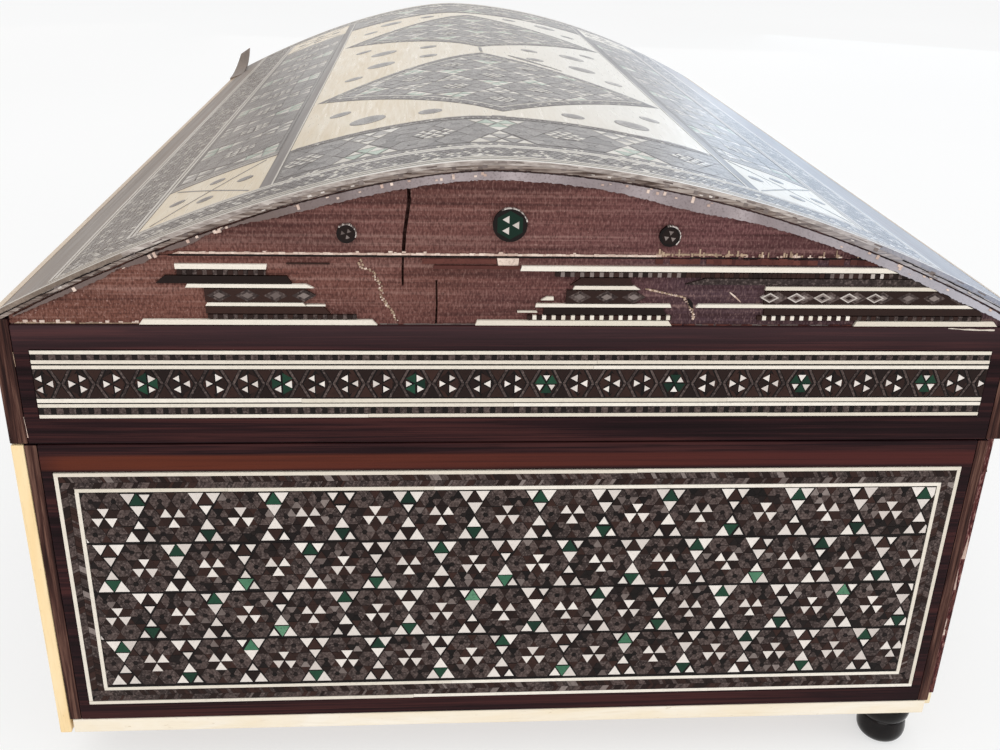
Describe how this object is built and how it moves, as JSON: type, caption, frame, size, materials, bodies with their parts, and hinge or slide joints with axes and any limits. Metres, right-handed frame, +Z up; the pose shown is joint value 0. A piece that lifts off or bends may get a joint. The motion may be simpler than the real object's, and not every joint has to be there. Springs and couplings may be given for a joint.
{
  "type": "inlaid domed box",
  "caption": "Rectangular work box with a lift-off barrel lid, star mosaic panels, bone edging strips and turned bun feet, worn and with losses.",
  "frame": {"origin": "on the floor under the middle of the box, level with the soles of the feet", "axes": "+X across the narrow end, to the right for someone facing the near end; +Y along the box, away from the near end; +Z up"},
  "size_m": [0.2, 0.304, 0.1397],
  "materials": {
    "rosewood": "old wax polish over dark purple-brown rosewood",
    "sandalwood": "bare, toothed red-brown wood",
    "carcass_wood": "plain planed wood",
    "bone": "yellowed polished bone",
    "ivory_line": "pale polished bone stringing",
    "ebony": "near-black polished wood",
    "dark_mosaic": "fine mosaic of dark wood and grey metal",
    "star_mosaic": "triangle mosaic of bone, green-stained bone, dark wood and grey metal",
    "pewter": "dull grey soft metal"
  },
  "bodies": {
    "root": {"base_end_board_near": "rosewood", "base_end_board_far": "rosewood", "base_side_board_left": "rosewood", "base_side_board_right": "rosewood", "base_floor": "carcass_wood", "corner_strip_near_left": "bone", "corner_strip_far_left": "bone", "corner_strip_far_right": "bone", "bottom_strip_near": "bone", "bottom_strip_far": "bone", "bottom_strip_left": "bone", "bottom_strip_right": "bone", "outer_line_near": "ivory_line", "outer_line_right": "ivory_line", "outer_line_far": "ivory_line", "outer_line_left": "ivory_line", "border_band_near": "dark_mosaic", "border_band_right": "dark_mosaic", "border_band_far": "dark_mosaic", "border_band_left": "dark_mosaic", "inner_line_near": "ivory_line", "inner_line_right": "ivory_line", "inner_line_far": "ivory_line", "inner_line_left": "ivory_line", "star_mosaic_near": "star_mosaic", "star_mosaic_right": "star_mosaic", "star_mosaic_far": "star_mosaic", "star_mosaic_left": "star_mosaic", "foot_near_right": "ebony", "foot_far_left": "ebony", "foot_far_right": "ebony", "lid_end_rail_near": "rosewood", "lid_end_rail_far": "rosewood", "lid_side_rail_left": "rosewood", "lid_side_rail_right": "rosewood", "frieze_inlay_near": "star_mosaic", "frieze_inlay_right": "star_mosaic", "frieze_inlay_far": "star_mosaic", "frieze_inlay_left": "star_mosaic", "tympanum_lower_board_near": "sandalwood", "tympanum_upper_board_near": "sandalwood", "tympanum_board_far": "sandalwood", "arch_edging_near": "pewter", "arch_edging_far": "pewter", "round_rosette_left": "star_mosaic", "round_rosette_middle": "star_mosaic", "round_rosette_right": "star_mosaic", "dome_board": "carcass_wood", "dome_border_frame": "dark_mosaic", "dome_side_mosaic_left": "star_mosaic", "dome_side_mosaic_right": "star_mosaic", "dome_band_left": "ebony", "dome_band_right": "ebony", "dome_corner_panel_near_left": "bone", "dome_corner_panel_near_right": "bone", "dome_corner_panel_far_left": "bone", "dome_corner_panel_far_right": "bone", "dome_end_mosaic_near": "star_mosaic", "dome_end_mosaic_far": "star_mosaic", "dome_centre_panel": "bone"}
  },
  "joints": []
}
